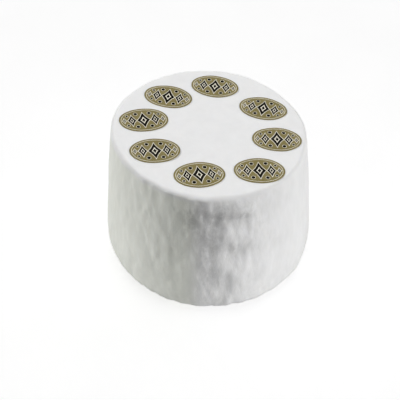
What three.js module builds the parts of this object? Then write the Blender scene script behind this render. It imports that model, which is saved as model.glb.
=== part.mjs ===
// A tall, soft-ripened cheese wheel with eight oval paper labels on its top face.
//
// Units are millimetres, +Z is up, and the wheel stands on z = 0 with its axis on the Z axis.
// The front of the wheel faces -Y. Angles round the wheel run from +X, anticlockwise seen from above.

import * as THREE from "three";

// ---------------------------------------------------------------- driving dimensions

const WHEEL = {
  height: 113.0, // on the axis, before the top face's slope
  radius: 79.0, // at the widest height
  widestHeight: 24.0, // the paste has settled, so the wheel is widest low down
  topNarrowing: 0.107, // share of the radius lost from the widest height up to the top edge
  topCurve: 1.36, // 1 is a straight flank, 2 a barrel's
  footNarrowing: 0.009, // share of the radius lost from the widest height down to the base
  footRadius: 16.0, // rounding of the lower edge
  shoulderRadius: 3.5, // rounding of the upper edge
  topSlope: -0.0686, // rise of the top face per millimetre along +X: the wheel is lower on its right
  dishDepth: 0.7, // how far the middle of the top face lies below its rim
  brow: 1.5, // how far the front stands out just under the upper edge
  browAngle: -94, // degrees
  browSpread: 17, // degrees to either side
  browHeight: 97,
  browThickness: 7.5,
};

const RELIEF = {
  roundness: 1.1, // height of the slowest waves round the wheel
  roundnessWaves: 6,
  flute: 0.16, // height of the upright ridges on the flank
  fluteFirst: 11, // ridges in the slowest set
  fluteStep: 5, // ridges that each further set adds
  fluteSets: 4,
  fluteFade: 0.5, // each further set is divided by this much more
  fluteSwell: 0.4, // share of a ridge's height that comes and goes on its way
  fluteSwellHeight: 17, // millimetres upward for one radian of the swell
  dent: 0.4, // depth of the deepest dent in the flank
  dents: 64,
  dentSmallest: 0.65, // as a share of the average dent
  dentSizeRange: 0.7,
  dentShallow: 0.3, // a dent of this size would have no depth
  dentMargin: 12, // from the base and from the top face to the nearest dent's even place
  dentWidth: 4.4, // half width of the average dent, across
  dentHeight: 9.5, // half height of the average dent
  dentScatter: 6, // how far a dent lies off its even place
  dentLean: 0.25, // millimetres that the most slanted dents move to the right for each millimetre down
  leanAngle: -118, // degrees: where the dents are slanted, left of the front
  leanSpread: 19, // degrees to either side
  foldAngle: -78, // degrees: where the folds are deepest, right of the front
  foldSpread: 11, // degrees to either side
  foldElsewhere: 0.05, // share of the folds' depth that runs on round the wheel
  foldSway: 1.6, // how far a fold rises and falls in long waves, and half as far in short ones
  foldLongWaves: 5, // round the wheel
  foldShortWaves: 9,
  notch: 1.1, // depth of the notches in the foot's rim
  notches: 40,
  notchSmallest: 0.6, // as a share of the average notch
  notchSizeRange: 0.8,
  notchWidth: 2.6, // half width
  notchHeight: 3.4, // half height
  notchLevel: 5.0, // height of their middles
  notchStart: 0.3, // where the first one lies, as a share of the golden angle
  ripple: 0.22, // height of the low waves on the top face
  rippleLength: 31, // from crest to crest
  rippleSkew: 0.35, // how far the waves' crests are turned off the axes
  rippleStretch: 0.8, // the waves along Y are longer by one over this
};

// Where the relief fades out.
const FADE = {
  marks: 14, // height over the base at which ridges, dents and folds are at their full depth
  slow: 10, // the same for the slow forms
  notches: 3, // the same for the notches
  baseInner: 20, // radius inside which the base and the top face have no slow forms
  baseOuter: 60, // radius from which they have them in full
  edge: 3, // shoulder radii below the top face at which the flank's marks begin to fade
};

// Level folds in the flank, from the uppermost down. thickness is half a fold's height.
const FOLDS = [
  { height: 93.5, depth: 2.5, thickness: 4.5 },
  { height: 61, depth: 3.1, thickness: 7 },
  { height: 32, depth: 1.4, thickness: 7 },
];

// Ridges and, where the depth is above zero, hollows that stand out on the front. across and tall are half
// sizes, and lean is how far the mark moves to the right for each millimetre down.
const CREASES = [
  { angle: -81, height: 85, across: 5.5, tall: 8, depth: -1.3, lean: 0 },
  { angle: -87, height: 97, across: 5.5, tall: 2.4, depth: 0.9, lean: 0 },
  { angle: -88, height: 89, across: 4.5, tall: 2.4, depth: 0.6, lean: 0 },
  { angle: -74, height: 68, across: 12, tall: 42, depth: -2.2, lean: 0 },
  { angle: -70, height: 102, across: 7, tall: 8, depth: -1.4, lean: 0 },
  { angle: -93, height: 88, across: 5, tall: 9, depth: -0.8, lean: 0 },
  { angle: -86.5, height: 60, across: 4.5, tall: 10, depth: -0.6, lean: 0 },
  { angle: -77.5, height: 85, across: 2.4, tall: 7, depth: 0.5, lean: 0 },
  { angle: -71, height: 85, across: 2.2, tall: 6, depth: 0.4, lean: 0 },
  { angle: -79.5, height: 62, across: 2, tall: 4, depth: 0.4, lean: 0 },
  { angle: -76, height: 61, across: 2, tall: 5, depth: 0.4, lean: 0 },
  { angle: -72.5, height: 63, across: 2.2, tall: 4, depth: 0.4, lean: 0 },
  { angle: -80.7, height: 37, across: 2.5, tall: 8, depth: 0.7, lean: 0 },
  { angle: -75, height: 38, across: 4, tall: 8, depth: -0.7, lean: 0 },
  { angle: -80, height: 52, across: 6, tall: 8, depth: -0.9, lean: 0 },
  { angle: -121, height: 86, across: 3.6, tall: 11, depth: -0.3, lean: 0.6 },
  { angle: -113, height: 72, across: 3.6, tall: 11, depth: -0.25, lean: 0.4 },
  { angle: -118, height: 45, across: 3.6, tall: 10, depth: -0.3, lean: 0.4 },
  { angle: -68, height: 14, across: 14, tall: 10, depth: -0.8, lean: 0 },
];

const LABEL = {
  length: 35.5,
  width: 25.5,
  thickness: 0.4,
  gap: 0.3, // to the rind below
};

// The labels as they were laid by hand, anticlockwise from the front. The angle is that of a label's place on
// the wheel, the ring its distance from the axis, and the heading that of its length, anticlockwise from +X.
const LABEL_PLACES = [
  { angle: -98, ring: 49, heading: 12 },
  { angle: -50, ring: 53.5, heading: 4.5 },
  { angle: -8, ring: 48.5, heading: 0 },
  { angle: 35, ring: 48, heading: -11 },
  { angle: 86, ring: 50.5, heading: -5.5 },
  { angle: 132, ring: 46.5, heading: -7.5 },
  { angle: 173, ring: 48, heading: 13 },
  { angle: -145, ring: 46.5, heading: 10.5 },
];

const GRID = {
  round: 150, // segments round the wheel
  base: 1,
  foot: 6,
  flank: 20,
  shoulder: 4,
  top: 8,
  labelRound: 28,
  labelRings: 2,
};

const TAU = 2 * Math.PI;
const GOLDEN_ANGLE = Math.PI * (3 - Math.sqrt(5));
const GOLDEN_SHARE = (Math.sqrt(5) - 1) / 2;
const PLASTIC_SHARE = 0.7548776662; // one over the plastic ratio: with its square it scatters places evenly

// ---------------------------------------------------------------- small helpers

const radians = THREE.MathUtils.degToRad;
const smoothstep = THREE.MathUtils.smoothstep;
const lerp = THREE.MathUtils.lerp;
const share = (x) => x - Math.floor(x);
const bell = (x) => Math.exp(-0.5 * x * x);

// The angle from b to a, between -180 and 180 degrees.
function turn(a, b) {
  return THREE.MathUtils.euclideanModulo(a - b + Math.PI, TAU) - Math.PI;
}

// ---------------------------------------------------------------- the wheel's plain form

// Radius of the flank at a height, before its edges are rounded and its relief is added.
function flankRadius(z) {
  const { height, radius, widestHeight, topNarrowing, topCurve, footNarrowing } = WHEEL;
  const up = Math.max(0, (z - widestHeight) / (height - widestHeight));
  const down = Math.max(0, (widestHeight - z) / widestHeight);
  return radius * (1 - topNarrowing * up ** topCurve - footNarrowing * down ** 2);
}

// The half section from the middle of the base, round the foot, up the flank and over the top, as r and z.
function halfSection() {
  const { height, footRadius, shoulderRadius } = WHEEL;
  const baseRadius = flankRadius(footRadius) - footRadius;
  const topRadius = flankRadius(height - shoulderRadius) - shoulderRadius;
  const points = [];
  for (let i = 0; i < GRID.base; i++) {
    points.push(new THREE.Vector2((baseRadius * i) / GRID.base, 0));
  }
  for (let i = 0; i < GRID.foot; i++) {
    const a = (Math.PI / 2) * (i / GRID.foot);
    points.push(new THREE.Vector2(baseRadius + footRadius * Math.sin(a), footRadius * (1 - Math.cos(a))));
  }
  for (let i = 0; i < GRID.flank; i++) {
    const z = lerp(footRadius, height - shoulderRadius, i / GRID.flank);
    points.push(new THREE.Vector2(flankRadius(z), z));
  }
  for (let i = 0; i < GRID.shoulder; i++) {
    const a = (Math.PI / 2) * (i / GRID.shoulder);
    const r = topRadius + shoulderRadius * Math.cos(a);
    points.push(new THREE.Vector2(r, height - shoulderRadius * (1 - Math.sin(a))));
  }
  for (let i = 0; i <= GRID.top; i++) {
    points.push(new THREE.Vector2(topRadius * (1 - i / GRID.top), height));
  }
  return points;
}

// ---------------------------------------------------------------- the rind's relief

// Out of round: a few slow waves, each lower than the last.
function roundnessAt(angle) {
  let sum = 0;
  for (let n = 2; n < 2 + RELIEF.roundnessWaves; n++) {
    sum += (RELIEF.roundness / n) * Math.cos(n * angle + n * n * GOLDEN_ANGLE);
  }
  return sum;
}

// Upright ridges, in sets that swell and fade on their way round.
function flutesAt(angle, z) {
  let sum = 0;
  for (let k = 0; k < RELIEF.fluteSets; k++) {
    const ridges = RELIEF.fluteFirst + k * RELIEF.fluteStep;
    const wave = Math.cos((k + 2) * angle + z / RELIEF.fluteSwellHeight + k);
    const height = (RELIEF.flute * lerp(1, wave, RELIEF.fluteSwell)) / (1 + RELIEF.fluteFade * k);
    sum += height * Math.cos(ridges * angle + k * GOLDEN_ANGLE);
  }
  return sum;
}

// Shallow upright dents, spread evenly over the flank. Those left of the front are slanted.
function dentsAt(angle, z) {
  const { dentMargin } = RELIEF;
  let sum = 0;
  for (let i = 0; i < RELIEF.dents; i++) {
    const size = RELIEF.dentSmallest + RELIEF.dentSizeRange * share((i + 0.5) * GOLDEN_SHARE);
    const offAcross = RELIEF.dentScatter * Math.sin(i * i);
    const offUp = RELIEF.dentScatter * Math.cos(i * i);
    const centreAngle = turn(TAU * i * PLASTIC_SHARE + offAcross / WHEEL.radius, 0);
    const evenHeight = lerp(dentMargin, WHEEL.height - dentMargin, share((i + 0.5) * PLASTIC_SHARE ** 2));
    const leaning = bell(turn(centreAngle, radians(RELIEF.leanAngle)) / radians(RELIEF.leanSpread));
    const down = evenHeight + offUp - z;
    const across = turn(angle, centreAngle) * WHEEL.radius - RELIEF.dentLean * leaning * down;
    const depth = RELIEF.dent * (size - RELIEF.dentShallow);
    sum -= depth * bell(across / (RELIEF.dentWidth * size)) * bell(down / (RELIEF.dentHeight * size));
  }
  return sum;
}

// Level folds one above another, deepest at the front.
function foldsAt(angle, z) {
  const { foldAngle, foldSpread, foldElsewhere, foldSway, foldLongWaves, foldShortWaves } = RELIEF;
  const atFront = bell(turn(angle, radians(foldAngle)) / radians(foldSpread));
  const shareHere = lerp(foldElsewhere, 1, atFront);
  let sum = 0;
  FOLDS.forEach(({ height, depth, thickness }, i) => {
    const sway = Math.sin(foldLongWaves * angle + 2 * i) + Math.sin(foldShortWaves * angle - i) / 2;
    sum -= shareHere * depth * bell((z - height - foldSway * sway) / thickness);
  });
  return sum;
}

// The marks that stand out on the front.
function creasesAt(angle, z) {
  let sum = 0;
  for (const crease of CREASES) {
    const down = crease.height - z;
    const across = turn(angle, radians(crease.angle)) * WHEEL.radius - crease.lean * down;
    sum -= crease.depth * bell(across / crease.across) * bell(down / crease.tall);
  }
  return sum;
}

// The front stands out a little just under the upper edge.
function browAt(angle, z) {
  const { brow, browAngle, browSpread, browHeight, browThickness } = WHEEL;
  const atFront = bell(turn(angle, radians(browAngle)) / radians(browSpread));
  return brow * atFront * bell((z - browHeight) / browThickness);
}

// Small notches, which leave the foot's rim ragged.
function notchesAt(angle, z) {
  let sum = 0;
  for (let i = 0; i < RELIEF.notches; i++) {
    const size = RELIEF.notchSmallest + RELIEF.notchSizeRange * share((i + 0.5) * PLASTIC_SHARE);
    const across = turn(angle, (i + RELIEF.notchStart) * GOLDEN_ANGLE) * WHEEL.radius;
    const up = z - RELIEF.notchLevel * size;
    sum -= RELIEF.notch * size * bell(across / (RELIEF.notchWidth * size)) * bell(up / RELIEF.notchHeight);
  }
  return sum;
}

// Low waves on the top face, and the dish in its middle.
function topReliefAt(x, y) {
  const k = TAU / RELIEF.rippleLength;
  const { rippleSkew, rippleStretch } = RELIEF;
  const waves = Math.cos(k * (x + rippleSkew * y)) * Math.cos(k * (rippleStretch * y - rippleSkew * x) + 1);
  const topRadius = WHEEL.radius * (1 - WHEEL.topNarrowing);
  const dish = Math.max(0, 1 - (x * x + y * y) / topRadius ** 2);
  return RELIEF.ripple * waves - WHEEL.dishDepth * dish;
}

// The plain form's point, moved out along the flank or up on the top face.
function withRelief(point) {
  const { height, shoulderRadius, topSlope } = WHEEL;
  const r = Math.hypot(point.x, point.y);
  const angle = Math.atan2(point.y, point.x);
  const underEdge = height - FADE.edge * shoulderRadius;
  const onFlank = smoothstep(point.z, 0, FADE.marks) * (1 - smoothstep(point.z, underEdge, height));
  const slow = roundnessAt(angle) + browAt(angle, point.z);
  const outward = slow * smoothstep(point.z, 0, FADE.slow) * smoothstep(r, FADE.baseInner, FADE.baseOuter);
  const marks = flutesAt(angle, point.z) + dentsAt(angle, point.z) + foldsAt(angle, point.z);
  const ridged = onFlank * (marks + creasesAt(angle, point.z));
  const ragged = notchesAt(angle, point.z) * smoothstep(point.z, 0, FADE.notches);
  const grown = r > 0 ? (r + outward + ridged + ragged) / r : 1;
  const x = point.x * grown;
  const y = point.y * grown;
  const onTop = smoothstep(point.z, height - shoulderRadius, height);
  const z = point.z + onTop * topReliefAt(x, y) + (point.z / height) * topSlope * x;
  return new THREE.Vector3(x, y, z);
}

// Height of the rind's top face over a point, with its slope and relief.
function topHeightAt(x, y) {
  return WHEEL.height + topReliefAt(x, y) + WHEEL.topSlope * x;
}

// Moves every vertex of a geometry by a function of its place.
function reshape(geometry, place) {
  const position = geometry.getAttribute("position");
  const point = new THREE.Vector3();
  for (let i = 0; i < position.count; i++) {
    point.copy(place(point.fromBufferAttribute(position, i)));
    position.setXYZ(i, point.x, point.y, point.z);
  }
  geometry.computeVertexNormals();
  return geometry;
}

// ---------------------------------------------------------------- pieces

function makeWheel() {
  const geometry = new THREE.LatheGeometry(halfSection(), GRID.round);
  geometry.rotateX(Math.PI / 2);
  reshape(geometry, withRelief);
  const rind = new THREE.MeshStandardMaterial({ color: 0xe9e8e4, roughness: 0.92, metalness: 0 });
  const wheel = new THREE.Mesh(geometry, rind);
  wheel.name = "wheel";
  return wheel;
}

// A thin oval that follows the top face. It is a flat disc of two skins and an edge, bent to the rind.
function makeLabel(labelPlace, index) {
  const labelX = labelPlace.ring * Math.cos(radians(labelPlace.angle));
  const labelY = labelPlace.ring * Math.sin(radians(labelPlace.angle));
  const section = [];
  for (let i = 0; i <= GRID.labelRings; i++) {
    section.push(new THREE.Vector2(i / GRID.labelRings, 0));
  }
  for (let i = GRID.labelRings; i >= 0; i--) {
    section.push(new THREE.Vector2(i / GRID.labelRings, LABEL.thickness));
  }
  const geometry = new THREE.LatheGeometry(section, GRID.labelRound);
  geometry.rotateX(Math.PI / 2);
  geometry.scale(LABEL.length / 2, LABEL.width / 2, 1);
  geometry.rotateZ(radians(labelPlace.heading));
  reshape(geometry, (p) => {
    const x = p.x + labelX;
    const y = p.y + labelY;
    return new THREE.Vector3(x, y, topHeightAt(x, y) + LABEL.gap + p.z);
  });
  const paper = new THREE.MeshStandardMaterial({ color: 0x918866, roughness: 0.55, metalness: 0.2 });
  const label = new THREE.Mesh(geometry, paper);
  label.name = `label_${index + 1}`;
  return label;
}

// ---------------------------------------------------------------- the whole

const cheese = new THREE.Group();
cheese.add(makeWheel());
LABEL_PLACES.forEach((labelPlace, index) => cheese.add(makeLabel(labelPlace, index)));

export default cheese;
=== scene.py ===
"""A tall, soft-ripened cheese wheel with a bloomy rind and eight gold paper labels.

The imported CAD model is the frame. The wheel and the labels are made again here with a fine surface, in the
same places and to the same form. Forms are worked out in millimetres and meshes are written in metres.
"""

import math

import bpy
import numpy as np
from mathutils import Matrix, Vector
from mathutils.geometry import delaunay_2d_cdt


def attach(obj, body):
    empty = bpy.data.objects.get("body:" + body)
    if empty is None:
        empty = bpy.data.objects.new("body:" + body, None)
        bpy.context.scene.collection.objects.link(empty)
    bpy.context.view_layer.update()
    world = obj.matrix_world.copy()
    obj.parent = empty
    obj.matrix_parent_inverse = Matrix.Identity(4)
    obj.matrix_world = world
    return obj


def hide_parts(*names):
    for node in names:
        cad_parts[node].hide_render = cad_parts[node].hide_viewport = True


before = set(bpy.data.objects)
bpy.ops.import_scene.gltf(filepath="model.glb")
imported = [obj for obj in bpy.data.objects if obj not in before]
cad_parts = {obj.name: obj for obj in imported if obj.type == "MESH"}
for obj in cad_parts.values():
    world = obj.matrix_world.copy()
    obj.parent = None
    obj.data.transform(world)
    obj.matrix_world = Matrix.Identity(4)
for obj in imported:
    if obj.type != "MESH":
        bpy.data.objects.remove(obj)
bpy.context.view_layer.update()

MM = 0.001
TAU = 2 * math.pi
GOLDEN_ANGLE = math.pi * (3 - math.sqrt(5))
GOLDEN_SHARE = (math.sqrt(5) - 1) / 2
PLASTIC_SHARE = 0.7548776662  # one over the plastic ratio: with its own square it scatters places evenly

# ---------------------------------------------------------------- the form, as the CAD model has it

HEIGHT = 113.0  # on the axis, before the top face's slope
RADIUS = 79.0  # at the widest height
WIDEST_HEIGHT = 24.0
TOP_NARROWING = 0.107
TOP_CURVE = 1.36
FOOT_NARROWING = 0.009
FOOT_RADIUS = 16.0
SHOULDER_RADIUS = 3.5
TOP_SLOPE = -0.0686
DISH_DEPTH = 0.7
BROW = 1.5  # the front stands out just under the upper edge
BROW_ANGLE = math.radians(-94)
BROW_SPREAD = math.radians(17)
BROW_HEIGHT = 97.0
BROW_THICKNESS = 7.5

ROUNDNESS = 1.1  # height of the slowest waves round the wheel
ROUNDNESS_WAVES = 6
FLUTE = 0.16  # height of the upright ridges on the flank
FLUTE_FIRST = 11  # ridges in the slowest set
FLUTE_STEP = 5  # ridges that each further set adds
FLUTE_SETS = 4
FLUTE_FADE = 0.5  # each further set is divided by this much more
FLUTE_SWELL = 0.4  # share of a ridge's height that comes and goes on its way
FLUTE_SWELL_HEIGHT = 17  # millimetres upward for one radian of the swell
DENT = 0.4  # depth of the deepest dent in the flank
DENTS = 64
DENT_SMALLEST = 0.65  # as a share of the average dent
DENT_SIZE_RANGE = 0.7
DENT_SHALLOW = 0.3  # a dent of this size would have no depth
DENT_MARGIN = 12  # from the base and from the top face to the nearest dent's even place
DENT_WIDTH = 4.4  # half width of the average dent
DENT_HEIGHT = 9.5  # half height
DENT_SCATTER = 6.0  # how far a dent lies off its even place
DENT_LEAN = 0.25  # millimetres that the most slanted marks move to the right for each millimetre down
LEAN_ANGLE = math.radians(-118)
LEAN_SPREAD = math.radians(19)
FOLDS = [(93.5, 2.5, 4.5), (61, 3.1, 7.0), (32, 1.4, 7.0)]  # height, depth, half thickness
FOLD_ANGLE = math.radians(-78)
FOLD_SPREAD = math.radians(11)
FOLD_ELSEWHERE = 0.05  # share of the folds' depth that runs on round the wheel
FOLD_SWAY = 1.6  # how far a fold rises and falls in long waves, and half as far in short ones
FOLD_LONG_WAVES = 5  # round the wheel
FOLD_SHORT_WAVES = 9
NOTCH = 1.1  # depth of the notches in the foot's rim
NOTCHES = 40
NOTCH_SMALLEST = 0.6  # as a share of the average notch
NOTCH_SIZE_RANGE = 0.8
NOTCH_WIDTH = 2.6  # half width
NOTCH_HEIGHT = 3.4  # half height
NOTCH_LEVEL = 5.0
NOTCH_START = 0.3  # where the first one lies, as a share of the golden angle
RIPPLE = 0.22  # height of the low waves on the top face
RIPPLE_LENGTH = 31.0
RIPPLE_SKEW = 0.35  # how far the waves' crests are turned off the axes
RIPPLE_STRETCH = 0.8  # the waves along Y are longer by one over this

# Where the relief fades out.
MARKS_FADE = 14  # height over the base at which ridges, dents and folds are at their full depth
SLOW_FADE = 10  # the same for the slow forms
NOTCH_FADE = 3  # the same for the notches
EDGE_FADE = 3  # shoulder radii below the top face at which the flank's marks begin to fade
SLOW_INNER = 20  # radius inside which the base and the top face have no slow forms
SLOW_OUTER = 60  # radius from which they have them in full

CREASES = [  # angle in degrees, height, half width, half height, depth, and how far it leans for each mm down
    (-81, 85, 5.5, 8, -1.3, 0),
    (-87, 97, 5.5, 2.4, 0.9, 0),
    (-88, 89, 4.5, 2.4, 0.6, 0),
    (-74, 68, 12.0, 42, -2.2, 0),
    (-70, 102, 7.0, 8, -1.4, 0),
    (-93, 88, 5.0, 9, -0.8, 0),
    (-86.5, 60, 4.5, 10, -0.6, 0),
    (-77.5, 85, 2.4, 7, 0.5, 0),
    (-71, 85, 2.2, 6, 0.4, 0),
    (-79.5, 62, 2.0, 4, 0.4, 0),
    (-76, 61, 2.0, 5, 0.4, 0),
    (-72.5, 63, 2.2, 4, 0.4, 0),
    (-80.7, 37, 2.5, 8, 0.7, 0),
    (-75, 38, 4.0, 8, -0.7, 0),
    (-80, 52, 6.0, 8, -0.9, 0),
    (-121, 86, 3.6, 11, -0.3, 0.6),
    (-113, 72, 3.6, 11, -0.25, 0.4),
    (-118, 45, 3.6, 10, -0.3, 0.4),
    (-68, 14, 14.0, 10, -0.8, 0),
]

LABEL_LENGTH = 35.5
LABEL_WIDTH = 25.5
LABEL_PLACES = [  # angle on the wheel in degrees, distance from the axis, heading in degrees
    (-98, 49, 12),
    (-50, 53.5, 4.5),
    (-8, 48.5, 0),
    (35, 48, -11),
    (86, 50.5, -5.5),
    (132, 46.5, -7.5),
    (173, 48, 13),
    (-145, 46.5, 10.5),
]

# ---------------------------------------------------------------- the fine surface, in this script alone

SEGMENTS = 680  # round the wheel
BASE_RINGS = 2
FOOT_RINGS = 14
FLANK_RINGS = 92
SHOULDER_RINGS = 10
TOP_RINGS = 26

STREAKS = 2600  # short upright marks on the flank
STREAK_DEPTH = 0.33
STREAK_MOST = 0.65  # height of the highest streak and depth of the deepest, as a share of that
STREAK_WIDTH = 1.2  # half width
STREAK_NARROWEST = 0.6  # as a share of that
STREAK_WIDTH_RANGE = 0.9
STREAK_HEIGHT = 3.3  # half height
STREAK_SHORTEST = 0.5  # as a share of that
STREAK_HEIGHT_RANGE = 1.1
STREAK_REACH = 3.2  # half widths or half heights beyond which a streak is left out
RUGGED_PLACES = [(-86, 1.0), (-128, 0.5), (58, 1.0), (138, 1.0)]  # angle in degrees, and the roughness there
RUGGED_SPREAD = math.radians(21)
RUGGED_ELSEWHERE = 0.25
RUGGED_FADE = 4  # height over the base at which the fine marks are at their full depth
DAB_HEIGHT = 0.24  # soft upright patches, between the velvet's lumps and the dents in size
DAB_WIDTH = 4.6
DAB_LENGTH = 8.5
BLOOM_HEIGHT = 0.08  # the mould's velvet, as low lumps
BLOOM_CELL = 3.2
BLOOM_COARSE = 0.6  # share of the velvet that is in the larger of its two sizes
BLOOM_CROWDING = 1.6  # how much closer the smaller lumps stand across than up
TOP_BLOOM_HEIGHT = 0.05
TOP_BLOOM_CELL = 9.0
LUMP_HEIGHT = 0.32  # unevenness of the upper edge
LUMPS = 44
LUMP_INNER = 30  # radius inside which the top face has none of it
LUMP_OUTER = 60  # radius from which it is in full
COARSE_HOLLOW_SHADE = 0.35  # how much a millimetre of coarse relief counts in the painted shade of the rind's hollows

STREAK_SEED = 11  # seeds of the random draws
DAB_SEED = 20
COARSE_BLOOM_SEED = 21
FINE_BLOOM_SEED = 22
LUMP_SEED = 23
TOP_BLOOM_SEED = 31
PAPER_WAVE_SEED = 40  # for the first label, and one more for each that follows
PAPER_CURL_SEED = 60

SHADE_AND_GREY_PATCHES = [  # painted shade in patches on the front, and a few grey patches round the back: angle in degrees, height, half width, half height, and how grey the rind is in the middle
    (-120, 39, 5, 6, 0.35),
    (-101, 98, 6, 8, 0.25),
    (-97, 94, 4, 9, 0.3),
    (-92, 93, 9, 12, 0.7),
    (-91, 95, 7, 4, 0.5),
    (-90, 61, 5, 13, 0.65),
    (-89, 34, 5, 8, 0.25),
    (-86, 98, 4, 1.6, 0.3),
    (-86.5, 89, 4, 1.6, 0.3),
    (-84, 34, 4, 8, 0.25),
    (-83, 102, 5, 7, 0.45),
    (-79, 77, 3, 4, 0.15),
    (-77, 65, 5, 6, 0.45),
    (-73, 97, 3, 2.2, 0.3),
    (-72, 106, 8, 3.5, 0.3),
    (-71, 96, 5, 5, 0.45),
    (-68, 98, 5, 12, 0.25),
    (-66, 50, 4, 20, 0.2),
    (-60, 87, 4, 4, 0.2),
    (-18, 24, 16, 18, 0.16),
    (22, 62, 12, 14, 0.25),
    (74, 40, 9, 12, 0.3),
    (118, 80, 10, 12, 0.3),
    (163, 54, 12, 10, 0.25),
]
FOOT_SHADE = 0.2  # painted contact shade: how much greyer the rind is near its foot
FOOT_SHADE_HEIGHTS = (12.0, 40.0)  # where that begins to fade, and where it ends
LIGHT_TINT_ANGLE = math.radians(-146)  # middle of the part of the flank with the olive tint of the left light painted on it
LIGHT_TINT_SPREAD = math.radians(48)  # to either side
LIGHT_TINT_FADE = math.radians(6)  # towards the front
LIGHT_TINT_BACK_FADE = math.radians(42)

PAPER_LIFT = 0.14  # the label's lower face over the rind
PAPER_THICKNESS = 0.14
PAPER_WAVE = 0.07
PAPER_CURL = 0.21  # how far the paper's edge may stand up
PAPER_NOISE_SIDE = 60  # side of the square that the waves and the curl are drawn for
PAPER_WAVE_CELLS = 8
PAPER_CURL_CELLS = 5
PAPER_STEP = 1.15  # distance between the label's mesh points
PAPER_MARGIN = 0.5  # from the outline to the nearest of them
SAME_POINT = 1e-5  # mesh points that are closer than this are one


def bell(x):
    """A smooth bump, 1 at zero and near nothing beyond 3."""
    return np.exp(-0.5 * x * x)


def smoothstep(x, low, high):
    """0 below low, 1 above high, and smooth between them."""
    t = np.clip((x - low) / (high - low), 0, 1)
    return t * t * (3 - 2 * t)


def turn(a, b):
    """The angle from b to a, between minus and plus half a turn."""
    return (a - b + math.pi) % TAU - math.pi


def share(x):
    """The part of a number after its decimal point."""
    return x - math.floor(x)


def flank_radius(z):
    """Radius of the flank at a height, before its edges are rounded and its relief is added."""
    up = np.clip((z - WIDEST_HEIGHT) / (HEIGHT - WIDEST_HEIGHT), 0, None)
    down = np.clip((WIDEST_HEIGHT - z) / WIDEST_HEIGHT, 0, None)
    return RADIUS * (1 - TOP_NARROWING * up**TOP_CURVE - FOOT_NARROWING * down**2)


def half_section():
    """The outline from the middle of the base, up the flank and over the top, as radii and heights."""
    base_radius = flank_radius(FOOT_RADIUS) - FOOT_RADIUS
    shoulder_start = HEIGHT - SHOULDER_RADIUS
    top_radius = flank_radius(shoulder_start) - SHOULDER_RADIUS
    base = np.arange(BASE_RINGS) / BASE_RINGS
    foot = np.arange(FOOT_RINGS) / FOOT_RINGS * math.pi / 2
    flank = FOOT_RADIUS + (shoulder_start - FOOT_RADIUS) * np.arange(FLANK_RINGS) / FLANK_RINGS
    shoulder = np.arange(SHOULDER_RINGS) / SHOULDER_RINGS * math.pi / 2
    top = 1 - np.arange(TOP_RINGS + 1) / TOP_RINGS
    radii = np.concatenate([
        base_radius * base,
        base_radius + FOOT_RADIUS * np.sin(foot),
        flank_radius(flank),
        top_radius + SHOULDER_RADIUS * np.cos(shoulder),
        top_radius * top,
    ])
    heights = np.concatenate([
        np.zeros_like(base),
        FOOT_RADIUS * (1 - np.cos(foot)),
        flank,
        shoulder_start + SHOULDER_RADIUS * np.sin(shoulder),
        np.full_like(top, HEIGHT),
    ])
    return radii, heights


def roundness_at(angle):
    """Out of round: a few slow waves, each lower than the last."""
    total = 0
    for n in range(2, 2 + ROUNDNESS_WAVES):
        total = total + (ROUNDNESS / n) * np.cos(n * angle + n * n * GOLDEN_ANGLE)
    return total


def flutes_at(angle, z):
    """Upright ridges, in sets that swell and fade on their way round."""
    total = 0
    for k in range(FLUTE_SETS):
        ridges = FLUTE_FIRST + k * FLUTE_STEP
        swell = 1 - FLUTE_SWELL + FLUTE_SWELL * np.cos((k + 2) * angle + z / FLUTE_SWELL_HEIGHT + k)
        total = total + (FLUTE / (1 + FLUTE_FADE * k)) * swell * np.cos(ridges * angle + k * GOLDEN_ANGLE)
    return total


def dents_at(angle, z):
    """Shallow upright dents, spread evenly over the flank. Those left of the front are slanted."""
    total = 0
    for i in range(DENTS):
        size = DENT_SMALLEST + DENT_SIZE_RANGE * share((i + 0.5) * GOLDEN_SHARE)
        centre_angle = turn(TAU * i * PLASTIC_SHARE + DENT_SCATTER / RADIUS * math.sin(i * i), 0)
        even_height = DENT_MARGIN + (HEIGHT - 2 * DENT_MARGIN) * share((i + 0.5) * PLASTIC_SHARE**2)
        leaning = bell(turn(centre_angle, LEAN_ANGLE) / LEAN_SPREAD)
        down = even_height + DENT_SCATTER * math.cos(i * i) - z
        across = turn(angle, centre_angle) * RADIUS - DENT_LEAN * leaning * down
        depth = DENT * (size - DENT_SHALLOW)
        total = total - depth * bell(across / (DENT_WIDTH * size)) * bell(down / (DENT_HEIGHT * size))
    return total


def folds_at(angle, z):
    """Level folds one above another, deepest at the front."""
    at_front = bell(turn(angle, FOLD_ANGLE) / FOLD_SPREAD)
    share_here = FOLD_ELSEWHERE + (1 - FOLD_ELSEWHERE) * at_front
    total = 0
    for i, (height, depth, thickness) in enumerate(FOLDS):
        sway = np.sin(FOLD_LONG_WAVES * angle + 2 * i) + np.sin(FOLD_SHORT_WAVES * angle - i) / 2
        total = total - share_here * depth * bell((z - height - FOLD_SWAY * sway) / thickness)
    return total


def creases_at(angle, z):
    """The ridges and hollows that stand out on the front."""
    total = 0
    for centre_angle, centre_height, half_width, half_height, depth, lean in CREASES:
        down = centre_height - z
        across = turn(angle, math.radians(centre_angle)) * RADIUS - lean * down
        total = total - depth * bell(across / half_width) * bell(down / half_height)
    return total


def brow_at(angle, z):
    """The front stands out a little just under the upper edge."""
    return BROW * bell(turn(angle, BROW_ANGLE) / BROW_SPREAD) * bell((z - BROW_HEIGHT) / BROW_THICKNESS)


def notches_at(angle, z):
    """Small notches, which leave the foot's rim ragged."""
    total = 0
    for i in range(NOTCHES):
        size = NOTCH_SMALLEST + NOTCH_SIZE_RANGE * share((i + 0.5) * PLASTIC_SHARE)
        across = turn(angle, (i + NOTCH_START) * GOLDEN_ANGLE) * RADIUS
        up = z - NOTCH_LEVEL * size
        total = total - NOTCH * size * bell(across / (NOTCH_WIDTH * size)) * bell(up / NOTCH_HEIGHT)
    return total


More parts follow.
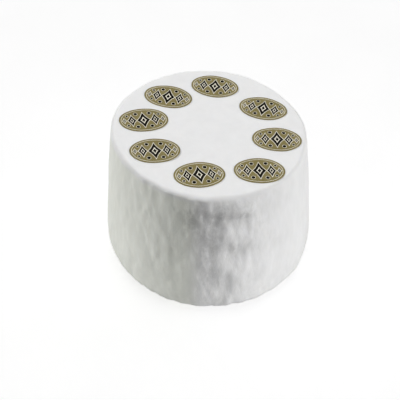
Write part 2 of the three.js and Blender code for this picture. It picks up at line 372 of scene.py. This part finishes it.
def top_relief_at(x, y):
    """Low waves on the top face, and the dish in its middle."""
    k = TAU / RIPPLE_LENGTH
    waves = np.cos(k * (x + RIPPLE_SKEW * y)) * np.cos(k * (RIPPLE_STRETCH * y - RIPPLE_SKEW * x) + 1)
    top_radius = RADIUS * (1 - TOP_NARROWING)
    dish = np.clip(1 - (x * x + y * y) / top_radius**2, 0, None)
    return RIPPLE * waves - DISH_DEPTH * dish


def top_height_at(x, y):
    """Height of the CAD model's top face over a point."""
    return HEIGHT + top_relief_at(x, y) + TOP_SLOPE * x


# ---------------------------------------------------------------- fine relief


def lattice_noise(u, v, rows, columns, seed):
    """Smooth noise between -1 and 1 from a grid of random heights.

    u and v run from 0 to 1, and u wraps round.
    """
    heights = np.random.default_rng(seed).uniform(-1, 1, (rows + 2, columns))
    across = (u % 1) * columns
    along = np.clip(v, 0, 1) * rows
    i = np.floor(across).astype(int)
    j = np.floor(along).astype(int)
    s = smoothstep(across - i, 0, 1)
    t = smoothstep(along - j, 0, 1)
    left, right = i % columns, (i + 1) % columns
    low = heights[j, left] * (1 - s) + heights[j, right] * s
    high = heights[j + 1, left] * (1 - s) + heights[j + 1, right] * s
    return low * (1 - t) + high * t


def streaks_at(angle, z):
    """Short upright marks in the mould, slanted where the dents are."""
    random = np.random.default_rng(STREAK_SEED)
    total = np.zeros_like(angle)
    for centre_angle, up, size, deep in random.uniform(0, 1, (STREAKS, 4)):
        centre_angle = turn(centre_angle * TAU, 0)
        width = STREAK_WIDTH * (STREAK_NARROWEST + STREAK_WIDTH_RANGE * size)
        height = STREAK_HEIGHT * (STREAK_SHORTEST + STREAK_HEIGHT_RANGE * size * size)
        leaning = DENT_LEAN * bell(turn(centre_angle, LEAN_ANGLE) / LEAN_SPREAD)
        down = HEIGHT * up - z
        across = turn(angle, centre_angle) * RADIUS - leaning * down
        near = (np.abs(across) < STREAK_REACH * width) & (np.abs(down) < STREAK_REACH * height)
        mark = bell(across[near] / width) * bell(down[near] / height)
        total[near] += STREAK_DEPTH * STREAK_MOST * (2 * deep - 1) * mark
    return total


def ruggedness_at(angle):
    """How rough the flank is, from 0 to 1: most at the front, and again at the back."""
    rough = 0
    for place, most in RUGGED_PLACES:
        rough = rough + most * bell(turn(angle, math.radians(place)) / RUGGED_SPREAD)
    return RUGGED_ELSEWHERE + (1 - RUGGED_ELSEWHERE) * np.clip(rough, 0, 1)


def bloom_at(angle, z):
    """The velvet of the mould on the flank: soft upright patches, and low lumps in two sizes."""
    u = angle / TAU
    v = z / HEIGHT
    girth = TAU * RADIUS
    dabs = lattice_noise(u, v, round(HEIGHT / DAB_LENGTH), round(girth / DAB_WIDTH), DAB_SEED)
    columns = round(girth / BLOOM_CELL)
    rows = round(HEIGHT / BLOOM_CELL)
    coarse = lattice_noise(u, v, rows // 2, columns // 2, COARSE_BLOOM_SEED)
    fine = lattice_noise(u, v, rows, round(BLOOM_CROWDING * columns), FINE_BLOOM_SEED)
    return DAB_HEIGHT * dabs + BLOOM_HEIGHT * (BLOOM_COARSE * coarse + (1 - BLOOM_COARSE) * fine)


def left_light_tint_at(angle):
    """How much of the left light's olive tint is painted on the flank, from 0 to 1."""
    forward = turn(angle, LIGHT_TINT_ANGLE)
    before = smoothstep(forward, -LIGHT_TINT_SPREAD - LIGHT_TINT_BACK_FADE, -LIGHT_TINT_SPREAD + LIGHT_TINT_BACK_FADE)
    return before - smoothstep(forward, LIGHT_TINT_SPREAD - LIGHT_TINT_FADE, LIGHT_TINT_SPREAD + LIGHT_TINT_FADE)


def shade_and_grey_at(angle, z):
    """How much painted shade and grey the flank has, from 0 to 1: painted contact shade at the foot, painted
    shade in soft patches on the front, and a few grey patches round the back.
    """
    total = FOOT_SHADE * (1 - smoothstep(z, *FOOT_SHADE_HEIGHTS))
    for centre_angle, centre_height, half_width, half_height, depth in SHADE_AND_GREY_PATCHES:
        across = turn(angle, math.radians(centre_angle)) * RADIUS
        total = total + depth * bell(across / half_width) * bell((z - centre_height) / half_height)
    return total


def edge_lumps_at(angle, z):
    """Unevenness of the wheel's edge between flank and top."""
    near_edge = bell((z - HEIGHT) / (2 * SHOULDER_RADIUS))
    same_row = np.full_like(z, 0.5)
    return LUMP_HEIGHT * near_edge * lattice_noise(angle / TAU, same_row, 2, LUMPS, LUMP_SEED)


def top_bloom_at(x, y):
    """The velvet on the top face."""
    side = 2 * RADIUS
    cells = round(side / TOP_BLOOM_CELL)
    return TOP_BLOOM_HEIGHT * lattice_noise(x / side + 0.5, y / side + 0.5, cells, cells, TOP_BLOOM_SEED)


# ---------------------------------------------------------------- meshes


def new_piece(name, vertices, faces, materials):
    """A smooth mesh in metres, riding on the root."""
    mesh = bpy.data.meshes.new(name)
    mesh.from_pydata((np.asarray(vertices) * MM).tolist(), [], faces)
    mesh.shade_smooth()
    for material in materials:
        mesh.materials.append(material)
    piece = bpy.data.objects.new(name, mesh)
    bpy.context.scene.collection.objects.link(piece)
    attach(piece, "root")
    return piece


def lathe_faces(rings, segments):
    """Quads between rings of vertices, with a fan to a single vertex at each end."""
    around = np.arange(segments)
    following = (around + 1) % segments
    first, last = 0, 1 + (rings - 2) * segments
    faces = [(first, 1 + b, 1 + a) for a, b in zip(around, following)]
    for ring in range(rings - 3):
        low = 1 + ring * segments
        high = low + segments
        faces += [(low + a, low + b, high + b, high + a) for a, b in zip(around, following)]
    low = last - segments
    faces += [(low + a, low + b, last) for a, b in zip(around, following)]
    return [tuple(int(i) for i in face) for face in faces]


def make_wheel(rind):
    """The plain form's points, moved out along the flank or up on the top face."""
    radii, heights = half_section()
    angles = np.arange(SEGMENTS) / SEGMENTS * TAU
    radius, angle = np.meshgrid(radii[1:-1], angles, indexing="ij")
    z = np.meshgrid(heights[1:-1], angles, indexing="ij")[0]
    under_edge = HEIGHT - EDGE_FADE * SHOULDER_RADIUS
    on_flank = smoothstep(z, 0, MARKS_FADE) * (1 - smoothstep(z, under_edge, HEIGHT))
    on_top = smoothstep(z, HEIGHT - SHOULDER_RADIUS, HEIGHT)
    slow = roundness_at(angle) + brow_at(angle, z)
    outward = slow * smoothstep(z, 0, SLOW_FADE) * smoothstep(radius, SLOW_INNER, SLOW_OUTER)
    ridged = on_flank * (flutes_at(angle, z) + dents_at(angle, z) + folds_at(angle, z) + creases_at(angle, z))
    ragged = notches_at(angle, z) * smoothstep(z, 0, NOTCH_FADE)
    rugged = ruggedness_at(angle) * smoothstep(z, 0, RUGGED_FADE) * (1 - on_top)
    fine = rugged * (streaks_at(angle, z) + bloom_at(angle, z))
    lumps = edge_lumps_at(angle, z) * smoothstep(radius, LUMP_INNER, LUMP_OUTER)
    radius = radius + outward + ridged + ragged + fine + lumps
    x = radius * np.cos(angle)
    y = radius * np.sin(angle)
    height = z + on_top * (top_relief_at(x, y) + top_bloom_at(x, y)) + (z / HEIGHT) * TOP_SLOPE * x
    middle = float(top_height_at(0.0, 0.0))
    vertices = np.concatenate([
        [[0, 0, 0]],
        np.stack([x, y, height], axis=-1).reshape(-1, 3),
        [[0, 0, middle]],
    ])
    wheel = new_piece("rind", vertices, lathe_faces(len(radii), SEGMENTS), [rind])
    on_side = 1 - smoothstep(z, HEIGHT - 2 * SHOULDER_RADIUS, HEIGHT)
    shades = {
        # painted shade: darker where the relief sinks in
        "hollow_shade": fine / STREAK_DEPTH + COARSE_HOLLOW_SHADE * ridged,
        "rugged": rugged,
        # painted olive tint of the light from the left
        "left_light_tint": on_side * left_light_tint_at(angle),
        # painted shade at the foot and on the front, and grey patches round the back
        "shade_and_grey": on_side * shade_and_grey_at(angle, z),
    }
    for name, values in shades.items():
        attribute = wheel.data.attributes.new(name, "FLOAT", "POINT")
        attribute.data.foreach_set("value", np.concatenate([[0], values.reshape(-1), [0]]).astype(np.float32))
    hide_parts("wheel")
    return wheel


# ---------------------------------------------------------------- labels


PAPER, INK, PALE = 0, 1, 2  # material places on a label
OUTLINE_POINTS = 96
KEYLINE_POINTS = 80
KEYLINE_INSET = 2.6  # the line's outer edge lies half of this inside the paper's
KEYLINE_WIDTH = 0.34
HALO = 0.56  # pale line round each dark figure
LOZENGES = [  # distance from the middle, width, height
    (0.0, 9.4, 16.6),
    (8.4, 6.2, 11.8),
    (13.9, 2.6, 4.8),
]
LOZENGE_BULGE = 0.12  # how far its sides are drawn in, as a share of the way to its middle
LOZENGE_RING = 0.48  # size of the pale lozenge inside a dark one
LOZENGE_HEART = 0.3  # size of the dark one inside that
SIDE_POINTS = 6
DOTS = [(5.0, 7.2, 1.35), (11.6, 5.1, 0.95)]  # distance along, distance across, radius
DOT_POINTS = 14


def ellipse(length, width, points):
    """An oval round the middle, anticlockwise from its right end."""
    turned = np.arange(points) / points * TAU
    return [(length / 2 * math.cos(t), width / 2 * math.sin(t)) for t in turned]


def lozenge(centre_x, centre_y, width, height):
    """A diamond whose sides are drawn in a little, anticlockwise from its right corner."""
    corners = [(width / 2, 0), (0, height / 2), (-width / 2, 0), (0, -height / 2)]
    outline = []
    for (ax, ay), (bx, by) in zip(corners, corners[1:] + corners[:1]):
        for k in range(SIDE_POINTS):
            t = k / SIDE_POINTS
            pull = 1 - 4 * LOZENGE_BULGE * t * (1 - t)
            outline.append((centre_x + pull * (ax + (bx - ax) * t), centre_y + pull * (ay + (by - ay) * t)))
    return outline


def disc(centre_x, centre_y, radius):
    """A dot, anticlockwise from its right end."""
    turned = [k * TAU / DOT_POINTS for k in range(DOT_POINTS)]
    return [(centre_x + radius * math.cos(t), centre_y + radius * math.sin(t)) for t in turned]


def label_print():
    """The printed figures as (outline, material place), each lying over those before it."""
    key_length = LABEL_LENGTH - KEYLINE_INSET
    key_width = LABEL_WIDTH - KEYLINE_INSET
    inner_length = key_length - 2 * KEYLINE_WIDTH
    inner_width = key_width - 2 * KEYLINE_WIDTH
    figures = [
        (ellipse(LABEL_LENGTH, LABEL_WIDTH, OUTLINE_POINTS), PAPER),
        (ellipse(key_length, key_width, KEYLINE_POINTS), PALE),
        (ellipse(inner_length, inner_width, KEYLINE_POINTS), PAPER),
    ]
    for away, width, height in LOZENGES:
        for side in (-1, 1) if away else (1,):
            nested = [(1 + 2 * HALO / width, PALE), (1, INK), (LOZENGE_RING, PALE), (LOZENGE_HEART, INK)]
            for scale, place in nested:
                figures.append((lozenge(side * away, 0, scale * width, scale * height), place))
    for along, across, radius in DOTS:
        for side_x in (-1, 1):
            for side_y in (-1, 1):
                middle = (side_x * along, side_y * across)
                figures.append((disc(*middle, radius + HALO / 2), PALE))
                figures.append((disc(*middle, radius), INK))
    return figures


def label_pattern():
    """The label laid flat: its points, its triangles, and each triangle's material place."""
    figures = label_print()
    points = []
    outlines = []
    for outline, _ in figures:
        outlines.append(list(range(len(points), len(points) + len(outline))))
        points += outline
    rows = int(LABEL_WIDTH / PAPER_STEP) + 1
    columns = int(LABEL_LENGTH / PAPER_STEP) + 1
    inner_length = LABEL_LENGTH - 2 * PAPER_MARGIN
    inner_width = LABEL_WIDTH - 2 * PAPER_MARGIN
    for row in range(rows):
        for column in range(columns):
            u = (column + 0.5 * (row % 2) - columns / 2) * PAPER_STEP
            v = (row - rows / 2) * PAPER_STEP
            if (2 * u / inner_length) ** 2 + (2 * v / inner_width) ** 2 < 1:
                points.append((u, v))
    flat = [Vector(point) for point in points]
    vertices, _, triangles, _, _, sources = delaunay_2d_cdt(flat, [], outlines, 1, SAME_POINT)
    places = [figures[max(source)][1] if source else PAPER for source in sources]
    return np.array([tuple(v) for v in vertices]), [tuple(t) for t in triangles], places


def rim_of(triangles):
    """The outline's directed edges: those that only one triangle has."""
    directed = {(t[k], t[(k + 1) % 3]) for t in triangles for k in range(3)}
    return [(a, b) for a, b in directed if (b, a) not in directed]


def make_label(index, pattern, materials):
    """The flat label, turned to its heading and laid on the top face: two skins and a rim between them."""
    flat, triangles, places = pattern
    angle, ring, heading = LABEL_PLACES[index]
    centre_x = ring * math.cos(math.radians(angle))
    centre_y = ring * math.sin(math.radians(angle))
    lean = math.radians(heading)
    u, v = flat[:, 0], flat[:, 1]
    x = centre_x + u * math.cos(lean) - v * math.sin(lean)
    y = centre_y + u * math.sin(lean) + v * math.cos(lean)
    out = (2 * u / LABEL_LENGTH) ** 2 + (2 * v / LABEL_WIDTH) ** 2
    across = u / PAPER_NOISE_SIDE + 0.5
    along = v / PAPER_NOISE_SIDE + 0.5
    waves = lattice_noise(across, along, PAPER_WAVE_CELLS, PAPER_WAVE_CELLS, PAPER_WAVE_SEED + index)
    curls = lattice_noise(across, along, PAPER_CURL_CELLS, PAPER_CURL_CELLS, PAPER_CURL_SEED + index)
    low = top_height_at(x, y) + PAPER_LIFT + PAPER_WAVE * waves + PAPER_CURL * out**3 * np.clip(curls, 0, 1)
    vertices = np.concatenate([
        np.stack([x, y, low + PAPER_THICKNESS], axis=-1),
        np.stack([x, y, low], axis=-1),
    ])
    count = len(flat)
    faces = list(triangles)
    faces += [(c + count, b + count, a + count) for a, b, c in triangles]
    rim = rim_of(triangles)
    faces += [(b, a, a + count, b + count) for a, b in rim]
    label = new_piece(f"paper_label_{index + 1}", vertices, faces, materials)
    indices = places + [PAPER] * (len(triangles) + len(rim))
    label.data.polygons.foreach_set("material_index", indices)
    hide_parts(f"label_{index + 1}")
    return label


# ---------------------------------------------------------------- materials


def linear(red, green, blue):
    """A colour given as it looks on a screen, from 0 to 255, as Blender's linear values."""
    def one(c):
        c = c / 255
        return c / 12.92 if c <= 0.04045 else ((c + 0.055) / 1.055) ** 2.4
    return (one(red), one(green), one(blue), 1.0)


class Shader:
    """A material's nodes, with short calls to add and join them."""

    def __init__(self, name):
        self.material = bpy.data.materials.new(name)
        self.material.use_nodes = True
        self.nodes = self.material.node_tree.nodes
        self.links = self.material.node_tree.links
        self.surface = self.nodes["Principled BSDF"]
        self.place = self.nodes.new("ShaderNodeTexCoord").outputs["Object"]

    def noise(self, size_mm, detail=3.0, roughness=0.5, stretch=(1, 1, 1)):
        """Noise whose lumps are about that many millimetres wide."""
        mapping = self.nodes.new("ShaderNodeMapping")
        mapping.inputs["Scale"].default_value = [1 / s for s in stretch]
        self.links.new(self.place, mapping.inputs["Vector"])
        noise = self.nodes.new("ShaderNodeTexNoise")
        noise.inputs["Scale"].default_value = 1 / (size_mm * MM)
        noise.inputs["Detail"].default_value = detail
        noise.inputs["Roughness"].default_value = roughness
        self.links.new(mapping.outputs["Vector"], noise.inputs["Vector"])
        return noise.outputs["Fac"]

    def ramp(self, value, low, high, to_low=0.0, to_high=1.0):
        """value, spread from the range low..high to to_low..to_high."""
        node = self.nodes.new("ShaderNodeMapRange")
        for socket, number in zip(("From Min", "From Max", "To Min", "To Max"), (low, high, to_low, to_high)):
            node.inputs[socket].default_value = number
        self.links.new(value, node.inputs["Value"])
        return node.outputs["Result"]

    def mix(self, share_of_b, a, b):
        """Colour a turning into colour b. Each is a colour or a socket."""
        node = self.nodes.new("ShaderNodeMix")
        node.data_type = "RGBA"
        self.links.new(share_of_b, node.inputs["Factor"])
        for socket, colour in zip((node.inputs["A"], node.inputs["B"]), (a, b)):
            self.set(socket, colour)
        return node.outputs["Result"]

    def set(self, socket, value):
        if isinstance(value, bpy.types.NodeSocket):
            self.links.new(value, socket)
        else:
            socket.default_value = value

    def bump(self, height, depth_mm, below=None):
        node = self.nodes.new("ShaderNodeBump")
        node.inputs["Strength"].default_value = 1.0
        node.inputs["Distance"].default_value = depth_mm * MM
        self.links.new(height, node.inputs["Height"])
        if below is not None:
            self.links.new(below, node.inputs["Normal"])
        return node.outputs["Normal"]

    def attribute(self, name):
        """A value that the mesh keeps for each of its points."""
        node = self.nodes.new("ShaderNodeAttribute")
        node.attribute_name = name
        return node.outputs["Fac"]

    def times(self, a, b):
        node = self.nodes.new("ShaderNodeMath")
        node.operation = "MULTIPLY"
        self.set(node.inputs[0], a)
        self.set(node.inputs[1], b)
        return node.outputs["Value"]

    def tinted(self, colour, tint):
        """The colour times a tint."""
        node = self.nodes.new("ShaderNodeMix")
        node.data_type = "RGBA"
        node.blend_type = "MULTIPLY"
        node.inputs["Factor"].default_value = 1.0
        self.set(node.inputs["A"], colour)
        self.set(node.inputs["B"], tint)
        return node.outputs["Result"]

    def finish(self, **inputs):
        for name, value in inputs.items():
            self.set(self.surface.inputs[name.replace("_", " ")], value)
        return self.material


RIND_WHITE = linear(244, 244, 244)
RIND_BLOTCH = linear(240, 240, 240)
# painted shade for the rind's hollows
RIND_HOLLOW_SHADE = linear(221, 221, 220)
# painted shade for the front's patches and the foot, and the grey of the patches round the back
RIND_SHADE_AND_GREY = linear(205, 205, 204)
OLIVE_LIGHT_TINT = (0.98, 1.0, 0.92, 1.0)  # a linear factor on the rind's colour: the painted olive tint of the light from the left
VELVET_DEPTH = 0.04
STROKE_DEPTH = 0.2


def rind_material():
    """White mould with painted shade in its hollows, painted shade in patches on the front and at the foot, a
    few grey patches round the back, and the olive tint of the left light painted on the left flank.
    """
    s = Shader("bloomy rind")
    blotches = s.ramp(s.noise(7, detail=4, roughness=0.6, stretch=(1, 1, 3)), 0.35, 0.7)
    colour = s.mix(blotches, RIND_WHITE, RIND_BLOTCH)
    # painted shade, darker where the relief sinks in
    hollow_shade = s.ramp(s.attribute("hollow_shade"), 0.2, -1.0, to_low=0, to_high=0.5)
    colour = s.mix(hollow_shade, colour, RIND_HOLLOW_SHADE)
    # painted shade on the front and at the foot, and grey patches round the back
    patchy = s.ramp(s.noise(4, roughness=0.65, stretch=(1, 1, 1.2)), 0.38, 0.58, to_low=0.45, to_high=1.2)
    colour = s.mix(s.times(s.attribute("shade_and_grey"), patchy), colour, RIND_SHADE_AND_GREY)
    # painted olive tint of the light from the left, on the left flank
    colour = s.mix(s.attribute("left_light_tint"), colour, s.tinted(colour, OLIVE_LIGHT_TINT))
    velvet = s.bump(s.noise(0.7, roughness=0.6), VELVET_DEPTH)
    strokes = s.times(s.noise(1.8, roughness=0.6, stretch=(1, 1, 2)), s.attribute("rugged"))
    normal = s.bump(strokes, STROKE_DEPTH, below=velvet)
    roughness = s.ramp(s.noise(4, detail=2), 0.3, 0.7, to_low=0.86, to_high=0.98)
    return s.finish(
        Base_Color=colour, Roughness=roughness, Normal=normal, Specular_IOR_Level=0.25,
        Sheen_Weight=0.12, Sheen_Roughness=0.6,
        Subsurface_Weight=0.12, Subsurface_Scale=0.003, Subsurface_Radius=(1.0, 0.9, 0.75),
    )


PAPERS = [  # name, darker colour, lighter colour, metal, roughness, specular level
    ("gold paper", linear(131, 120, 72), linear(149, 138, 94), 0.15, 0.62, 0.3),
    ("dark print", linear(22, 19, 12), linear(30, 27, 19), 0.0, 0.75, 0.1),
    ("pale print", linear(240, 235, 217), linear(245, 241, 226), 0.0, 0.6, 0.2),
]
PAPER_BUCKLE_DEPTH = 0.08
PAPER_GRAIN_DEPTH = 0.006


def paper_material(name, darker, lighter, metal, roughness, specular):
    """Paper or print, mottled between two colours, with a slight buckle and a fine grain."""
    s = Shader(name)
    mottle = s.ramp(s.noise(1.1, detail=4, roughness=0.65), 0.3, 0.7)
    slow = s.ramp(s.noise(14, detail=2), 0.35, 0.65, to_low=0.0, to_high=0.6)
    colour = s.mix(slow, s.mix(mottle, darker, lighter), darker)
    buckle = s.bump(s.noise(5, detail=2), PAPER_BUCKLE_DEPTH)
    normal = s.bump(s.noise(0.35, detail=2), PAPER_GRAIN_DEPTH, below=buckle)
    return s.finish(
        Base_Color=colour, Roughness=roughness, Normal=normal, Metallic=metal, Specular_IOR_Level=specular,
    )


FLOOR_PALER = (0.93, 0.93, 0.93, 1)
FLOOR_DARKER = (0.9, 0.9, 0.9, 1)
FLOOR_GLOW = 0.6  # keeps the contact shadow faint


def floor_material():
    s = Shader("pale floor")
    colour = s.mix(s.ramp(s.noise(60, detail=2), 0.3, 0.7), FLOOR_PALER, FLOOR_DARKER)
    return s.finish(
        Base_Color=colour, Roughness=0.9, Specular_IOR_Level=0.0,
        Emission_Color=(1, 1, 1, 1), Emission_Strength=FLOOR_GLOW,
    )


# ---------------------------------------------------------------- stage

CAMERA_ELEVATION = math.radians(43.56)
CAMERA_ROLL = math.radians(0.476)
CAMERA_DISTANCE = 711 * MM  # from the middle of the wheel
CAMERA_SENSOR = 36.0
FRAME_SIDE = 400.0  # pixels
FOCAL_PIXELS = 936.1
WHEEL_PIXEL = (209.26, 186.04)  # where the middle of the wheel lies in the frame

FLOOR_SIDE = 30.0  # metres
FLOOR_GAP = 0.0001  # metres below the wheel's foot

SUNS = [  # name, azimuth, elevation, spread, strength
    ("right_light", 82.5, 34.5, 20, 2.26),
    ("left_light", -103, 29.5, 20, 2.66),
    ("front_light", 40, 3, 60, 0.66),
    ("back_light", 180, 5, 60, 0.63),
]
FLOOR_SUN = ("floor_light", 0, 88, 100, 1.2)
WORLD_STRENGTH = 0.02

BOUNCES = 8  # panels under the floor, in a ring round the wheel, that stand for the light it sends back up
BOUNCE_RING = 200.0
BOUNCE_DEPTH = 60.0
BOUNCE_AIM = 60.0  # distance from the axis of the point that each panel faces
BOUNCE_SIZE = 200.0
BOUNCE_STRENGTH = 0.044
BOUNCE_UNEVENNESS = 0.8  # how much stronger those in front and behind are, and how much weaker those beside


def make_camera():
    """A camera in front of the wheel and above it, with the wheel a little up and right in the frame."""
    data = bpy.data.cameras.new("camera")
    data.sensor_width = CAMERA_SENSOR
    data.lens = CAMERA_SENSOR * FOCAL_PIXELS / FRAME_SIDE
    camera = bpy.data.objects.new("camera", data)
    bpy.context.scene.collection.objects.link(camera)
    aim_right = math.atan((FRAME_SIDE / 2 - WHEEL_PIXEL[0]) / FOCAL_PIXELS)
    aim_up = math.atan((WHEEL_PIXEL[1] - FRAME_SIDE / 2) / FOCAL_PIXELS)
    middle = Vector((0, 0, HEIGHT / 2 * MM))
    back = Vector((0, -math.cos(CAMERA_ELEVATION), math.sin(CAMERA_ELEVATION)))
    facing = Matrix.Rotation(math.pi / 2 - CAMERA_ELEVATION, 4, "X")
    turned = Matrix.Rotation(-aim_right, 4, "Y") @ Matrix.Rotation(aim_up, 4, "X")
    rolled = Matrix.Rotation(CAMERA_ROLL, 4, "Z")
    camera.matrix_world = Matrix.Translation(middle + CAMERA_DISTANCE * back) @ facing @ turned @ rolled
    bpy.context.scene.camera = camera


def make_plane(name, side, height, material):
    half = side / 2
    corners = [(-half, -half, height), (half, -half, height), (half, half, height), (-half, half, height)]
    mesh = bpy.data.meshes.new(name)
    mesh.from_pydata(corners, [], [(0, 1, 2, 3)])
    mesh.materials.append(material)
    plane = bpy.data.objects.new(name, mesh)
    bpy.context.scene.collection.objects.link(plane)
    return plane


def make_floor():
    """A floor that lets the fill light through from below and sends none back up itself."""
    floor = make_plane("floor", FLOOR_SIDE, -FLOOR_GAP, floor_material())
    floor.visible_diffuse = False
    floor.visible_shadow = False
    return floor


def add_light(name, kind, strength, lit):
    """A white light that reaches only the objects in the collection lit."""
    data = bpy.data.lights.new(name, kind)
    data.energy = strength
    light = bpy.data.objects.new(name, data)
    bpy.context.scene.collection.objects.link(light)
    light.light_linking.receiver_collection = lit
    light.visible_camera = False
    light.rotation_mode = "QUATERNION"
    return light


def make_sun(name, azimuth, elevation, spread, strength, lit):
    """A soft distant light. Azimuth 0 shines from the camera's side and 90 from the right."""
    sun = add_light(name, "SUN", strength, lit)
    sun.data.angle = math.radians(spread)
    a = math.radians(azimuth)
    e = math.radians(elevation)
    back = Vector((math.sin(a) * math.cos(e), -math.cos(a) * math.cos(e), math.sin(e)))
    sun.rotation_quaternion = back.to_track_quat("Z", "Y")


def make_panel(name, place, aim, size, strength, lit):
    """A near square light facing a point."""
    panel = add_light(name, "AREA", strength, lit)
    panel.data.size = size * MM
    panel.location = place * MM
    panel.rotation_quaternion = (place - aim).to_track_quat("Z", "Y")


def collection_of(name, objects):
    collection = bpy.data.collections.new(name)
    for thing in objects:
        collection.objects.link(thing)
    return collection


def make_lights(cheese, floor):
    on_cheese = collection_of("lit as the cheese", cheese)
    on_floor = collection_of("lit as the floor", [floor])
    for sun in SUNS:
        make_sun(*sun, on_cheese)
    for step in range(BOUNCES):
        a = TAU * step / BOUNCES
        way = Vector((math.cos(a), math.sin(a), 0))
        place = BOUNCE_RING * way - Vector((0, 0, BOUNCE_DEPTH))
        strength = BOUNCE_STRENGTH * (1 - BOUNCE_UNEVENNESS * math.cos(2 * a))
        make_panel(f"floor_bounce_{step + 1}", place, BOUNCE_AIM * way, BOUNCE_SIZE, strength, on_cheese)
    make_sun(*FLOOR_SUN, on_floor)


def make_world():
    """A faint even light from all round."""
    world = bpy.data.worlds.new("studio")
    bpy.context.scene.world = world
    world.use_nodes = True
    background = world.node_tree.nodes["Background"]
    background.inputs["Color"].default_value = (1, 1, 1, 1)
    background.inputs["Strength"].default_value = WORLD_STRENGTH


# ---------------------------------------------------------------- the scene

bpy.context.scene.view_settings.view_transform = "Standard"
make_camera()
floor = make_floor()
cheese = [make_wheel(rind_material())]
label_materials = [paper_material(*paper) for paper in PAPERS]
pattern = label_pattern()
for index in range(len(LABEL_PLACES)):
    cheese.append(make_label(index, pattern, label_materials))
make_lights(cheese, floor)
make_world()
